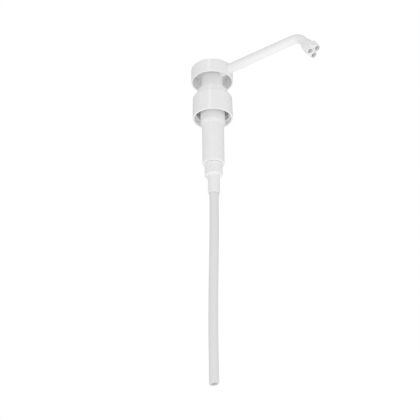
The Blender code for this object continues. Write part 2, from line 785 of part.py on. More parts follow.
# ---------------------------------------------------------------- foot valve and dip tube
def foot_ball_cage():
    ring_r = SPIGOT_BORE_R - 0.2
    cage = turned(
        "foot_ball_cage",
        [
            (ring_r, CAGE_TOP),
            (ring_r, CAGE_TOP - CAGE_THICK),
            (ring_r - 1.0, CAGE_TOP - CAGE_THICK),
            (ring_r - 1.0, CAGE_TOP),
        ],
        SATIN_WHITE,
        steps=INNER_STEPS,
    )
    for number in range(2):
        bar = box(f"cage_bar_{number}", (2 * ring_r - 0.8, 1.1, CAGE_THICK - 0.2), (0, 0, CAGE_TOP - CAGE_THICK / 2))
        bar.rotation_euler = (0, 0, radians(90 * number))
        combine(cage, bar, "UNION")
    return cage


def foot_valve_housing():
    bore = FOOT_BORE_R
    seat_z = FOOT_SEAT_Z
    seat_hole = FOOT_SEAT_HOLE_R
    tube_bore = DIP_R + REST_GAP
    tube_seat = DIP_SOCKET_LOW + DIP_SOCKET_DEPTH
    housing = turned(
        "foot_valve_housing",
        [
            (FOOT_BEAD_R, FOOT_TOP),
            (FOOT_BEAD_R, FOOT_TOP - FOOT_BEAD_TALL),
            (FOOT_R, FOOT_TOP - FOOT_BEAD_TALL - 0.5),
            (FOOT_R, FOOT_LOW, 0.6),
            (DIP_SOCKET_R, FOOT_LOW, 0.4),
            (DIP_SOCKET_R, DIP_SOCKET_LOW, 0.4),
            (tube_bore, DIP_SOCKET_LOW),
            (tube_bore, tube_seat),
            (DIP_R - DIP_WALL, tube_seat),
            (seat_hole, seat_z - 1.2),
            (seat_hole, seat_z),
            (seat_hole + FOOT_FLOOR - seat_z, FOOT_FLOOR),
            (bore, FOOT_FLOOR),
            (bore, FOOT_TOP),
        ],
        SATIN_WHITE,
    )
    for number in range(4):
        way = Matrix.Rotation(radians(FOOT_TURN + 90 * number), 4, "Z")
        combine(housing, rib(f"rib_{number}", bore + 0.5, way), "UNION")
    pocket = box("pocket", (2 * POCKET_DEEP, POCKET_WIDE, POCKET_TALL), (FOOT_R, 0, FOOT_LOW + POCKET_RISE))
    pocket.matrix_world = Matrix.Rotation(radians(POCKET_TURN), 4, "Z")
    return combine(housing, pocket, "DIFFERENCE")


def rib(name, inner_r, way):
    """A flat rib up the sleeve's side that tapers to a gusset under it."""
    outline = [
        (inner_r, FOOT_TOP - FOOT_BEAD_TALL + 0.4),
        (RIB_R, FOOT_TOP - FOOT_BEAD_TALL + 0.4),
        (RIB_R, FOOT_LOW + 0.3),
        (RIB_R - 0.6, FOOT_LOW - 0.2),
        (DIP_SOCKET_R - 0.3, FOOT_LOW - GUSSET_TALL),
        (DIP_SOCKET_R - 0.7, FOOT_LOW - GUSSET_TALL),
        (DIP_SOCKET_R - 0.7, FOOT_LOW + 0.6),
        (inner_r, FOOT_LOW + 0.6),
    ]

    def build(shape):
        near = [shape.verts.new((r * MM, -RIB_WIDE / 2 * MM, z * MM)) for r, z in outline]
        face = shape.faces.new(near)
        grown = bmesh.ops.extrude_face_region(shape, geom=[face])
        moved = [part for part in grown["geom"] if isinstance(part, bmesh.types.BMVert)]
        bmesh.ops.translate(shape, verts=moved, vec=(0, RIB_WIDE * MM, 0))
        bmesh.ops.recalc_face_normals(shape, faces=shape.faces)

    made = primitive(name, None, CUTTERS, build)
    made.matrix_world = way
    return made


def dip_tube():
    top = DIP_SOCKET_LOW + DIP_SOCKET_DEPTH - REST_GAP
    knots = 22
    heading = radians(DIP_BOW_TURN)
    points = []
    for knot in range(knots + 1):
        height = top + (DIP_LOW - top) * knot / knots
        share = min(1.0, max(0.0, (DIP_SOCKET_LOW - height) / DIP_BOW_SPAN))
        drift = DIP_BOW * share * share * (3 - 2 * share)
        points.append((drift * cos(heading), drift * sin(heading), height))
    tube = wire("dip_tube", points, [DIP_R] * len(points), MILKY, 5, capped=False)
    wall = tube.modifiers.new("wall", "SOLIDIFY")
    wall.thickness = DIP_WALL * MM
    wall.offset = -1
    wall.use_even_offset = True
    slice_box = box("angle_cut", (40, 40, 10), (0, 0, -5))
    low_edge = DIP_R * tan(radians(DIP_CUT_TILT))
    end = Vector(points[-1])
    place = Vector((end.x, end.y, DIP_LOW + low_edge)) * MM
    slice_box.matrix_world = Matrix.Translation(place) @ Matrix.Rotation(radians(-DIP_CUT_TILT), 4, "Y")
    return combine(tube, slice_box, "DIFFERENCE")


# ---------------------------------------------------------------- the whole pump
def build():
    shaded_by_turning = [
        pump_body(),
        stem_guide(),
        stem_wiper(),
        neck_gasket(),
        screw_cap(),
        lock_collar(),
        foot_valve_housing(),
        foot_ball_cage(),
        foot_seal_ring(),
        plunger_stem(),
        piston_seal(),
        discharge_valve_seat(),
        head_with_spout(),
        three_hole_nozzle(),
    ]
    for thing in shaded_by_turning:
        smooth(thing)
    smooth(dip_tube(), 50)
    return_spring()
    ball("discharge_ball", DISCHARGE_BALL_R, seat_height(DISCHARGE_BALL_R, DISCHARGE_HOLE_R, DISCHARGE_SEAT_Z), STEEL)
    ball("foot_ball", FOOT_BALL_R, seat_height(FOOT_BALL_R, FOOT_SEAT_HOLE_R, FOOT_SEAT_Z), STEEL)


build()
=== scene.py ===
# %% [markdown]
# # A three-hole sauce pump
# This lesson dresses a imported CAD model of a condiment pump: the long-spouted kind that screws on a big
# sauce jar. The CAD gives every piece's place and size. Here the pieces that can be seen are modelled again
# with finer edges, and every piece gets a plastic, foam or steel made of nodes.

# %% Load the frame
from math import cos, pi, radians, sin, tan

import bmesh
import bpy
from mathutils import Matrix, Vector


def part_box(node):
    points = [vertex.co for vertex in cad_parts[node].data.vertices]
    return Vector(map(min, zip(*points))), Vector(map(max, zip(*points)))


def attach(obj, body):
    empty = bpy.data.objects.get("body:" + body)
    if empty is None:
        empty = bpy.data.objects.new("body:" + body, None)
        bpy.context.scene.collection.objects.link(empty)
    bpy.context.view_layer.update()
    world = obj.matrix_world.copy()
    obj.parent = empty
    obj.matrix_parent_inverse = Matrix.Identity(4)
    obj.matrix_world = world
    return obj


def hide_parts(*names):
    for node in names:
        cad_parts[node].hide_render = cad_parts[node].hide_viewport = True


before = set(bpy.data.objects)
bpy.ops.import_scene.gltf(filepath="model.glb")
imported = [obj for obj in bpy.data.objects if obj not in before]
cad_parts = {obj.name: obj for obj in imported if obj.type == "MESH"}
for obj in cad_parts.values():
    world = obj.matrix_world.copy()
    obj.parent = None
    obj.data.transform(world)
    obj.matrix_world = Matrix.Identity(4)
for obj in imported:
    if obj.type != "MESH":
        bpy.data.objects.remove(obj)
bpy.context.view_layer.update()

MM = 0.001

# %% [markdown]
# ## The camera
# The pump is seen from below, from its front right, as if held up to the eye: a long lens about a metre
# away, tilted up by 27 degrees. The spout comes to the right and toward the viewer, so it climbs in the
# view, and the underside of the head, cap and valve housing shows. A camera looks along its own -Z, so its
# matrix is built from right, up and back.

# %% Camera
AXIS_DISTANCE = 0.910
AXIS_LEFT_OF_VIEW = 0.0044
SPOUT_TURN = 32.0
TILT_UP = 26.89
LEAN = -0.84
EYE_HEIGHT = -0.5911
SENSOR_WIDE = 36
VIEW_WIDE = 0.42  # how much of a wall a metre away the lens takes in

view_right = Vector((cos(radians(SPOUT_TURN)), sin(radians(SPOUT_TURN)), 0))
view_ahead = Vector((-sin(radians(SPOUT_TURN)), cos(radians(SPOUT_TURN)), 0))
looking = view_ahead * cos(radians(TILT_UP)) + Vector((0, 0, sin(radians(TILT_UP))))
camera_data = bpy.data.cameras.new("camera")
camera_data.lens = SENSOR_WIDE / VIEW_WIDE
camera_data.sensor_width = SENSOR_WIDE
camera_data.clip_end = 20
camera = bpy.data.objects.new("camera", camera_data)
bpy.context.scene.collection.objects.link(camera)
facing = Matrix((view_right, view_right.cross(looking), -looking)).transposed().to_4x4()
eye = -AXIS_DISTANCE * view_ahead - AXIS_LEFT_OF_VIEW * view_right + Vector((0, 0, EYE_HEIGHT))
camera.matrix_world = Matrix.Translation(eye) @ facing @ Matrix.Rotation(radians(LEAN), 4, "Z")
bpy.context.scene.camera = camera
print("camera at", [round(x, 4) for x in eye])

# %% [markdown]
# ## The studio
# White plastic on white needs light that comes from all round and is only a little stronger from one side.
# The world gives most of it, a touch brighter on the viewer's left than behind, and the camera sees it
# plain white. A narrow key box, high and to the viewer's left, draws the streak down the round walls. A
# very large box just over the floor lights the undersides, and a front box to the viewer's right fills the
# hollows. Those two are hidden from the camera. The floor is plain and pale.

# %% Studio
FLOOR_Z = -0.64
FLOOR_HALF_SIDE = 6.0
WORLD_LEVEL = 0.58
WORLD_SWING = 0.03
WORLD_LEFT = 0.35  # how far the world's bright side leans to the viewer's left
WORLD_SEEN = 1.0
KEY_TURN, KEY_AWAY, KEY_Z = 17.0, 1.6, 1.3
KEY_WIDE, KEY_TALL, KEY_POWER = 0.12, 1.1, 2.5
FRONT_TURN, FRONT_AWAY, FRONT_Z = -18.0, 1.25, -0.30
FRONT_WIDE, FRONT_TALL, FRONT_POWER = 0.9, 0.6, 1.2
FLOOR_BOX_Z = FLOOR_Z + 0.03
FLOOR_BOX_SIDE, FLOOR_BOX_POWER = 5.0, 35.0

scene = bpy.context.scene
scene.view_settings.view_transform = "Standard"
scene.view_settings.look = "None"


def add_world():
    world = bpy.data.worlds.new("studio")
    world.use_nodes = True
    scene.world = world
    nodes, links = world.node_tree.nodes, world.node_tree.links
    shine = nodes["Background"]
    where = nodes.new("ShaderNodeTexCoord")
    facing_key = nodes.new("ShaderNodeVectorMath")
    facing_key.operation = "DOT_PRODUCT"
    links.new(where.outputs["Generated"], facing_key.inputs[0])
    facing_key.inputs[1].default_value = (-view_ahead - WORLD_LEFT * view_right).normalized()
    level = nodes.new("ShaderNodeMath")
    level.operation = "MULTIPLY_ADD"
    links.new(facing_key.outputs["Value"], level.inputs[0])
    level.inputs[1].default_value = WORLD_SWING
    level.inputs[2].default_value = WORLD_LEVEL
    ray = nodes.new("ShaderNodeLightPath")
    pick = nodes.new("ShaderNodeMix")
    links.new(ray.outputs["Is Camera Ray"], pick.inputs["Factor"])
    links.new(level.outputs["Value"], pick.inputs["A"])
    pick.inputs["B"].default_value = WORLD_SEEN
    links.new(pick.outputs["Result"], shine.inputs["Strength"])
    shine.inputs["Color"].default_value = (1, 1, 1, 1)


def add_soft_box(name, turn, away, height, wide, tall, power):
    """A soft box turned by some degrees to the left of the viewer's place, facing the pump's neck."""
    data = bpy.data.lights.new(name, "AREA")
    data.shape = "RECTANGLE"
    data.size = wide
    data.size_y = tall
    data.energy = power
    box = bpy.data.objects.new(name, data)
    scene.collection.objects.link(box)
    spot = Matrix.Rotation(radians(-turn), 4, "Z") @ (-view_ahead * away)
    spot.z = height
    aim = (Vector((0, 0, 0)) - spot).to_track_quat("-Z", "Y")
    box.matrix_world = Matrix.Translation(spot) @ aim.to_matrix().to_4x4()
    return box


add_world()
add_soft_box("key_box", KEY_TURN, KEY_AWAY, KEY_Z, KEY_WIDE, KEY_TALL, KEY_POWER)
floor_box = add_soft_box("floor_box", 0, 0.0, FLOOR_BOX_Z, FLOOR_BOX_SIDE, FLOOR_BOX_SIDE, FLOOR_BOX_POWER)
floor_box.visible_camera = False
front_box = add_soft_box("front_box", FRONT_TURN, FRONT_AWAY, FRONT_Z, FRONT_WIDE, FRONT_TALL, FRONT_POWER)
front_box.visible_camera = False


def add_floor():
    mesh = bpy.data.meshes.new("floor")
    shape = bmesh.new()
    bmesh.ops.create_grid(shape, x_segments=1, y_segments=1, size=FLOOR_HALF_SIDE)
    bmesh.ops.translate(shape, verts=shape.verts, vec=(0, 0, FLOOR_Z))
    shape.to_mesh(mesh)
    shape.free()
    floor = bpy.data.objects.new("floor", mesh)
    scene.collection.objects.link(floor)
    return floor


floor = add_floor()
print("floor at", FLOOR_Z, "m")

# %% [markdown]
# ## Shader sums
# A material's pattern is a sum of textures. Written as node links that is hard to read, so one small class
# wraps a socket, and plus and times on it add the Math nodes. Any other node comes from one method.


# %% Shader helpers
class Wire:
    """A socket of a node tree that can be used in sums."""

    def __init__(self, tree, socket):
        self.tree = tree
        self.socket = socket

    def sum_with(self, operation, first, second):
        node = self.tree.nodes.new("ShaderNodeMath")
        node.operation = operation
        for place, value in enumerate((first, second)):
            put(self.tree, node.inputs[place], value)
        return Wire(self.tree, node.outputs[0])

    def __add__(self, other):
        return self.sum_with("ADD", self, other)

    def __mul__(self, other):
        return self.sum_with("MULTIPLY", self, other)

    __radd__ = __add__
    __rmul__ = __mul__


def put(tree, socket, value):
    if isinstance(value, Wire):
        tree.links.new(value.socket, socket)
    else:
        socket.default_value = value


class Finish:
    """A material under construction, with its Principled shader."""

    def __init__(self, name, **fixed):
        self.material = bpy.data.materials.new(name)
        self.material.use_nodes = True
        self.tree = self.material.node_tree
        self.shader = self.tree.nodes["Principled BSDF"]
        for key, value in fixed.items():
            self.shader.inputs[key.replace("_", " ")].default_value = value

    def node(self, kind, settings, out, **values):
        made = self.tree.nodes.new("ShaderNode" + kind)
        for key, value in settings.items():
            setattr(made, key, value)
        for key, value in values.items():
            put(self.tree, made.inputs[key.replace("_", " ")], value)
        return Wire(self.tree, made.outputs[out])

    def where(self, stretch=(1, 1, 1)):
        place = self.node("TexCoord", {}, "Object")
        return self.node("Mapping", {}, "Vector", Vector=place, Scale=stretch)

    def noise(self, scale, detail=3.0, stretch=(1, 1, 1)):
        return self.node("TexNoise", {}, "Fac", Vector=self.where(stretch), Scale=scale, Detail=detail)

    def blend(self, low, high, factor):
        mixed = self.node("Mix", {"data_type": "RGBA"}, 2, Factor=factor)
        mixer = mixed.socket.node
        mixer.inputs[6].default_value = (*low, 1)
        mixer.inputs[7].default_value = (*high, 1)
        return mixed

    def feed(self, socket, value):
        put(self.tree, self.shader.inputs[socket], value)

    def bump(self, height, strength, distance):
        low_relief = self.node("Bump", {}, "Normal", Height=height, Strength=strength, Distance=distance)
        self.feed("Normal", low_relief)


# %% [markdown]
# ## White moulded plastic
# Polypropylene from a polished mould isn't one flat white. Its tone drifts a little as the wall changes,
# its gloss is broken by flow and handling, and the surface has a faint orange peel. So a large soft noise
# moves the colour by up to one and a half percent, a finer one moves the roughness, and two noises make a
# very low bump.

# %% Plastics
DARKEST_DRIFT = 0.985


def moulded_plastic(name, tone, roughness, peel):
    finish = Finish(name, IOR=1.49)
    drift = finish.noise(scale=45, detail=2)
    handling = finish.noise(scale=420, detail=4)
    darker = tuple(channel * DARKEST_DRIFT for channel in tone)
    finish.feed("Base Color", finish.blend(darker, tone, drift))
    finish.feed("Roughness", roughness - 0.05 + 0.10 * handling)
    orange_peel = finish.noise(scale=900, detail=2) + 0.35 * finish.noise(scale=4200, detail=2)
    finish.bump(orange_peel, strength=peel, distance=0.00004)
    return finish.material


gloss_white = moulded_plastic("white_gloss_moulded", (0.985, 0.986, 0.985), roughness=0.17, peel=0.20)
satin_white = moulded_plastic("white_satin_moulded", (0.980, 0.981, 0.980), roughness=0.33, peel=0.35)
soft_seal = moulded_plastic("soft_seal_moulded", (0.90, 0.905, 0.91), roughness=0.50, peel=0.40)


def milky_tube():
    """Extruded tube: faint streaks along its length, a duller and greyer skin than the mouldings."""
    finish = Finish("milky_extruded_tube", IOR=1.51)
    streaks = finish.noise(scale=900, detail=3, stretch=(1, 1, 0.02))
    cloud = finish.noise(scale=60, detail=2)
    mottle = 0.6 * streaks + 0.4 * cloud
    finish.feed("Base Color", finish.blend((0.850, 0.854, 0.856), (0.880, 0.883, 0.885), mottle))
    finish.feed("Roughness", 0.36 + 0.10 * streaks)
    finish.bump(streaks, strength=0.3, distance=0.00005)
    return finish.material


def gasket_foam():
    """Closed-cell foam sheet: a rough skin full of tiny cells."""
    finish = Finish("gasket_foam_sheet")
    cells = finish.node("TexVoronoi", {}, "Distance", Vector=finish.where(), Scale=2600.0)
    finish.feed("Base Color", finish.blend((0.84, 0.84, 0.83), (0.93, 0.93, 0.92), cells))
    finish.feed("Roughness", 0.72 + 0.12 * cells)
    finish.bump(cells, strength=0.6, distance=0.0001)
    return finish.material


def drawn_steel(name, along):
    """Bright stainless wire or ball: fine draw marks that move the roughness."""
    finish = Finish(name, Metallic=1.0)
    marks = finish.noise(scale=3000, detail=4, stretch=along)
    finish.feed("Base Color", finish.blend((0.58, 0.58, 0.59), (0.66, 0.66, 0.67), marks))
    finish.feed("Roughness", 0.18 + 0.14 * marks)
    finish.bump(marks, strength=0.15, distance=0.00003)
    return finish.material


def floor_paint():
    finish = Finish("pale_floor_paint")
    mottle = finish.noise(scale=6, detail=4)
    finish.feed("Base Color", finish.blend((0.80, 0.80, 0.80), (0.83, 0.83, 0.83), mottle))
    finish.feed("Roughness", 0.85 + 0.05 * mottle)
    return finish.material


tube_milk = milky_tube()
foam = gasket_foam()
spring_steel = drawn_steel("drawn_stainless_wire", (1, 1, 0.1))
ball_steel = drawn_steel("ground_stainless_ball", (1, 1, 1))
floor.data.materials.append(floor_paint())
print(len(bpy.data.materials), "materials")

# %% [markdown]
# ## Turned pieces
# Nearly everything on a pump is round, so the main tool is a lathe. A flat outline is drawn as one face in
# the plane of the axis, its corners are bevelled there, where a rounding is easy to give, and the outline
# is spun a full turn. The spin merges its last step with its first.

# %% Lathe
ROUND_STEPS = 112
CORNER_STEPS = 5
SAME_PLACE = 1e-7


def finished(name, shape, look, sharp=32):
    """Makes the object from a bmesh, its place already in its mesh."""
    mesh = bpy.data.meshes.new(name)
    shape.to_mesh(mesh)
    shape.free()
    mesh.materials.append(look)
    mesh.shade_smooth()
    mesh.set_sharp_from_angle(angle=radians(sharp))
    piece = bpy.data.objects.new(name, mesh)
    scene.collection.objects.link(piece)
    return piece


def lathe(corners, steps=ROUND_STEPS, longest=4.0):
    """A bmesh turned about Z from (radius, height, rounding) corners in mm, in order round the outline."""
    shape = bmesh.new()
    verts = [shape.verts.new((corner[0] * MM, 0, corner[1] * MM)) for corner in corners]
    shape.faces.new(verts)
    for corner, vert in zip(corners, verts):
        if len(corner) > 2:
            bmesh.ops.bevel(
                shape, geom=[vert], offset=corner[2] * MM, offset_type="OFFSET", segments=CORNER_STEPS,
                profile=0.5, affect="VERTICES", material=-1,
            )
    bmesh.ops.delete(shape, geom=shape.faces[:], context="FACES_ONLY")
    on_axis = [edge for edge in shape.edges if all(abs(vert.co.x) < SAME_PLACE for vert in edge.verts)]
    bmesh.ops.delete(shape, geom=on_axis, context="EDGES")
    for edge in list(shape.edges):
        cuts = int(edge.calc_length() / (longest * MM))
        if cuts:
            bmesh.ops.subdivide_edges(shape, edges=[edge], cuts=cuts)
    bmesh.ops.spin(
        shape, geom=shape.verts[:] + shape.edges[:], cent=(0, 0, 0), axis=(0, 0, 1), angle=2 * pi,
        steps=steps, use_merge=True,
    )
    bmesh.ops.remove_doubles(shape, verts=shape.verts, dist=SAME_PLACE)
    bmesh.ops.recalc_face_normals(shape, faces=shape.faces)
    return shape


def pillar(radius, low, high, segments=48):
    """A plain round bar as a bmesh, for cutting holes."""
    shape = bmesh.new()
    bmesh.ops.create_cone(
        shape, cap_ends=True, segments=segments, radius1=radius * MM, radius2=radius * MM,
        depth=(high - low) * MM,
    )
    bmesh.ops.translate(shape, verts=shape.verts, vec=(0, 0, (low + high) / 2 * MM))
    return shape


def block(size, centre, rounding=0.0):
    """A box as a bmesh, with its edges rounded."""
    shape = bmesh.new()
    bmesh.ops.create_cube(shape, size=1.0)
    bmesh.ops.scale(shape, verts=shape.verts, vec=[side * MM for side in size])
    if rounding:
        bmesh.ops.bevel(
            shape, geom=shape.edges[:], offset=rounding * MM, offset_type="OFFSET", segments=4, profile=0.5,
            affect="EDGES", material=-1,
        )
    bmesh.ops.translate(shape, verts=shape.verts, vec=[place * MM for place in centre])
    return shape


def sweep(centres, frames, radii, segments):
    """A round bar as a bmesh: one ring, pushed on from centre to centre, with closed ends."""
    shape = bmesh.new()
    places = [
        Matrix.Translation(Vector(centre) * MM) @ turn.to_4x4() @ Matrix.Scale(radius * MM, 4)
        for centre, turn, radius in zip(centres, frames, radii)
    ]
    made = bmesh.ops.create_circle(shape, cap_ends=False, segments=segments, radius=1.0, matrix=places[0])
    ring = list({edge for vert in made["verts"] for edge in vert.link_edges})
    ends = list(ring)
    for before, after in zip(places, places[1:]):
        grown = bmesh.ops.extrude_edge_only(shape, edges=ring)["geom"]
        verts = {part for part in grown if isinstance(part, bmesh.types.BMVert)}
        ring = [part for part in grown if isinstance(part, bmesh.types.BMEdge) and set(part.verts) <= verts]
        bmesh.ops.transform(shape, verts=list(verts), matrix=after @ before.inverted())
    bmesh.ops.holes_fill(shape, edges=ends + ring, sides=0)
    bmesh.ops.recalc_face_normals(shape, faces=shape.faces)
    return shape


def carve(piece, other, operation="DIFFERENCE"):
    """Cuts or joins one more bmesh into a piece, and keeps the piece's own mesh name and finish."""
    mesh = bpy.data.meshes.new("tool")
    other.to_mesh(mesh)
    other.free()
    tool = bpy.data.objects.new("tool", mesh)
    scene.collection.objects.link(tool)
    step = piece.modifiers.new("carve", "BOOLEAN")
    step.operation = operation
    step.solver = "EXACT"
    step.object = tool
    graph = bpy.context.evaluated_depsgraph_get()
    result = bpy.data.meshes.new_from_object(piece.evaluated_get(graph))
    old = piece.data
    piece.modifiers.clear()
    piece.data = result
    result.name = piece.name
    bpy.data.meshes.remove(old)
    bpy.data.objects.remove(tool)
    bpy.data.meshes.remove(mesh)


def settle(piece, sharp=32):
    """After carving: merges the seams, keeps one material, and shades it smooth again."""
    shape = bmesh.new()
    shape.from_mesh(piece.data)
    bmesh.ops.remove_doubles(shape, verts=shape.verts, dist=2e-6)
    bmesh.ops.dissolve_degenerate(shape, dist=1e-6, edges=shape.edges)
    shape.to_mesh(piece.data)
    shape.free()
    look = piece.data.materials[0]
    piece.data.materials.clear()
    piece.data.materials.append(look)
    for face in piece.data.polygons:
        face.material_index = 0
    piece.data.shade_smooth()
    piece.data.set_sharp_from_angle(angle=radians(sharp))
    return piece


def stand_for(piece, node, body):
    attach(piece, body)
    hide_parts(node)
    low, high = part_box(node)
    sides = [round((b - a) / MM, 1) for a, b in zip(low, high)]
    print(f"{piece.name}: {len(piece.data.polygons)} faces, for {node}, {sides} mm")


# %% [markdown]
# ## The head and its spout
# The head and spout are one moulding: an open-bottomed cup with a flat thumb plate, a sleeve in the middle
# that covers the spring, and a spout that grows out of the wall with a small flare. The cup and sleeve are
# turned. The spout is a sweep whose rings follow a straight run, a bend and a short tail, and it is joined
# to the cup before its bore is cut through both.

# %% Head sizes
HEAD_LOW, HEAD_TOP, HEAD_CEILING = 26.0, 42.2, 40.6
HEAD_RIM_R, HEAD_TOP_R, HEAD_WALL = 22.8, 22.7, 1.5
HUB_R, HUB_BORE_R, HUB_LOW = 11.8, 10.3, -3.0
SPRING_SEAT = 28.3
STEM_SOCKET_R, STEM_SOCKET_BORE_R, STEM_SOCKET_LOW, STEM_SOCKET_TOP = 7.0, 4.8, 12.0, 30.0
PASSAGE_R = 2.4
SPOUT_Z, SPOUT_BORE_R = 34.2, 3.3
SPOUT_TILT, SPOUT_REACH, SPOUT_BEND_R, SPOUT_DROP, SPOUT_TAIL = 4.6, 100.3, 13.3, 58.0, 9.6
SPOUT_INSIDE_CUP = [9.5, 14, 18, 21.3]
BEND_STEPS = 18
SPOUT_ROOT_R, SPOUT_END_R = 5.15, 4.75
SPOUT_FLARE, FLARE_SWELL = 1.6, 0.8
FLARE_START = HEAD_RIM_R - 0.6

rise = Vector((cos(radians(SPOUT_TILT)), 0, sin(radians(SPOUT_TILT))))
fall = Vector((cos(radians(SPOUT_DROP)), 0, -sin(radians(SPOUT_DROP))))
spout_start = Vector((0, 0, SPOUT_Z))
bend_centre = spout_start + SPOUT_REACH * rise + SPOUT_BEND_R * Vector((rise.z, 0, -rise.x))
spout_end = bend_centre + SPOUT_BEND_R * Vector((-fall.z, 0, fall.x)) + SPOUT_TAIL * fall
print("spout ends at", [round(x, 2) for x in spout_end], "mm")


# %% Spout path
def ring_turn(angle):
    """A ring square to a way that lies in the XZ plane, angle degrees above level."""
    return Matrix.Rotation(radians(90 - angle), 3, "Y")


def spout_route(straight):
    """(centre, ring turn, distance along) for some distances along the straight run, then round the bend."""
    route = []
    for along in straight:
        route.append((spout_start + along * rise, ring_turn(SPOUT_TILT), along))
    turn = SPOUT_TILT + SPOUT_DROP
    for step in range(BEND_STEPS + 1):
        angle = SPOUT_TILT - turn * step / BEND_STEPS
        out = Vector((-sin(radians(angle)), 0, cos(radians(angle))))
        route.append((bend_centre + SPOUT_BEND_R * out, ring_turn(angle), SPOUT_REACH))
    return route


def spout_radius(along):
    """Taper, with the flare where the spout leaves the cup's wall."""
    share = min(1.0, max(0.0, (along - HEAD_RIM_R) / (SPOUT_REACH - HEAD_RIM_R)))
    radius = SPOUT_ROOT_R + (SPOUT_END_R - SPOUT_ROOT_R) * share
    past = along - FLARE_START
    if 0 <= past < SPOUT_FLARE:
        reach = 1 - past / SPOUT_FLARE
        radius += FLARE_SWELL * SPOUT_FLARE * (1 - (1 - reach * reach) ** 0.5)
    return radius


# %% Head with spout
def head_with_spout():
    cup = lathe(
        [
            (0, HEAD_TOP), (HEAD_TOP_R, HEAD_TOP, 0.9), (HEAD_RIM_R, HEAD_LOW, 0.35),
            (HEAD_RIM_R - HEAD_WALL, HEAD_LOW, 0.3), (HEAD_TOP_R - HEAD_WALL, HEAD_CEILING, 0.8),
            (HUB_R, HEAD_CEILING, 0.8), (HUB_R, HUB_LOW, 0.3), (HUB_BORE_R, HUB_LOW, 0.3),
            (HUB_BORE_R, SPRING_SEAT), (STEM_SOCKET_R, SPRING_SEAT), (STEM_SOCKET_R, STEM_SOCKET_LOW, 0.3),
            (STEM_SOCKET_BORE_R, STEM_SOCKET_LOW, 0.3), (STEM_SOCKET_BORE_R, STEM_SOCKET_TOP),
            (PASSAGE_R, STEM_SOCKET_TOP), (PASSAGE_R, SPOUT_Z), (0, SPOUT_Z),
        ]
    )
    head = finished("head_moulding", cup, gloss_white)
    flare = [FLARE_START + SPOUT_FLARE * step / 6 for step in range(7)]
    runs = SPOUT_INSIDE_CUP + flare + [30 + 10 * step for step in range(7)]
    route = spout_route(runs)
    centres = [place for place, turn, along in route] + [spout_end]
    turns = [turn for place, turn, along in route] + [route[-1][1]]
    radii = [spout_radius(along) for place, turn, along in route] + [SPOUT_END_R]
    carve(head, sweep(centres, turns, radii, segments=64), "UNION")
    bore = spout_route([-PASSAGE_R, 30, 60])
    centres = [place for place, turn, along in bore] + [spout_end + fall]
    turns = [turn for place, turn, along in bore] + [bore[-1][1]]
    carve(head, sweep(centres, turns, [SPOUT_BORE_R] * len(centres), segments=40))
    return settle(head)


stand_for(head_with_spout(), "head_with_spout", "head")

# %% [markdown]
# ## The three-hole nozzle
# The nozzle is a short sleeve pushed over the end of the spout. It swells into three parallel outlet tubes
# with soft shoulders. It is made upright, with the outlets' face at zero, and its mesh is turned into place
# at the end.

# %% Nozzle
OUTLET_R, OUTLET_BORE_R, OUTLET_CIRCLE_R, OUTLET_TALL = 3.7, 2.9, 4.76, 10.2
WEB_R, WEB_RECESS = 6.6, 1.6
OUTLET_BORE_TALL = 9.2
OUTLET_TURNS = [radians(90 + 120 * number) for number in range(3)]
FACE_AHEAD = 11.5
NOZZLE_TOP = FACE_AHEAD + 5.5
NOZZLE_TOP_R, NOZZLE_SHOULDER_R = 5.45, 6.7
GRIP_BORE_R, CHAMBER_R, CHAMBER_LOW = 5.05, 4.4, 8.0
nozzle_up = -fall
across = Vector((0, 1, 0))
nozzle_place = Matrix((across.cross(nozzle_up), across, nozzle_up)).transposed().to_4x4()
nozzle_place.translation = (spout_end + FACE_AHEAD * fall) * MM


def at_outlet(shape, turn):
    """Moves an upright bmesh from the nozzle's middle to one outlet's place."""
    away = (OUTLET_CIRCLE_R * sin(turn) * MM, OUTLET_CIRCLE_R * cos(turn) * MM, 0)
    bmesh.ops.translate(shape, verts=shape.verts, vec=away)
    return shape


def three_hole_nozzle():
    body = lathe(
        [
            (0, NOZZLE_TOP), (NOZZLE_TOP_R, NOZZLE_TOP, 0.15), (NOZZLE_SHOULDER_R, OUTLET_TALL, 1.2),
            (WEB_R, WEB_RECESS, 0.5), (0, WEB_RECESS),
        ],
        steps=72,
    )
    nozzle = finished("three_hole_nozzle_moulding", body, gloss_white)
    for turn in OUTLET_TURNS:
        tube = lathe([(0, OUTLET_TALL), (OUTLET_R, OUTLET_TALL, 1.6), (OUTLET_R, 0, 0.3), (0, 0)], steps=48)
        carve(nozzle, at_outlet(tube, turn), "UNION")
    carve(nozzle, pillar(CHAMBER_R, CHAMBER_LOW, FACE_AHEAD + 0.5))
    carve(nozzle, pillar(GRIP_BORE_R, FACE_AHEAD - 0.3, NOZZLE_TOP + 1, 56))
    for turn in OUTLET_TURNS:
        hole = lathe(
            [(0, OUTLET_BORE_TALL), (OUTLET_BORE_R, OUTLET_BORE_TALL), (OUTLET_BORE_R, -1), (0, -1)], steps=44
        )
        carve(nozzle, at_outlet(hole, turn))
    settle(nozzle)
    nozzle.data.transform(nozzle_place)
    return nozzle


stand_for(three_hole_nozzle(), "three_hole_nozzle", "head")

# %% [markdown]
# ## The collar and the cap
# The collar is a plain ring with a soft top edge and a groove inside that snaps over the pump body's bead.
# The cap is a smooth skirt with a flat top and one long thread ridge inside, which is a helix of its own
# that climbs one thread pitch per turn.

# %% Collar and cap
COLLAR_LOW, COLLAR_TOP = 5.7, 14.2
CAP_LOW, CAP_TOP = -20.6, 5.4
THREAD_PITCH, THREAD_TURNS, THREAD_STEPS = 4.23, 1.5, 48
THREAD_R, THREAD_LOW = 19.1, -15.6
THREAD_END_THICK, THREAD_SWELL, THREAD_FADE_STEPS = 0.7, 0.25, 5

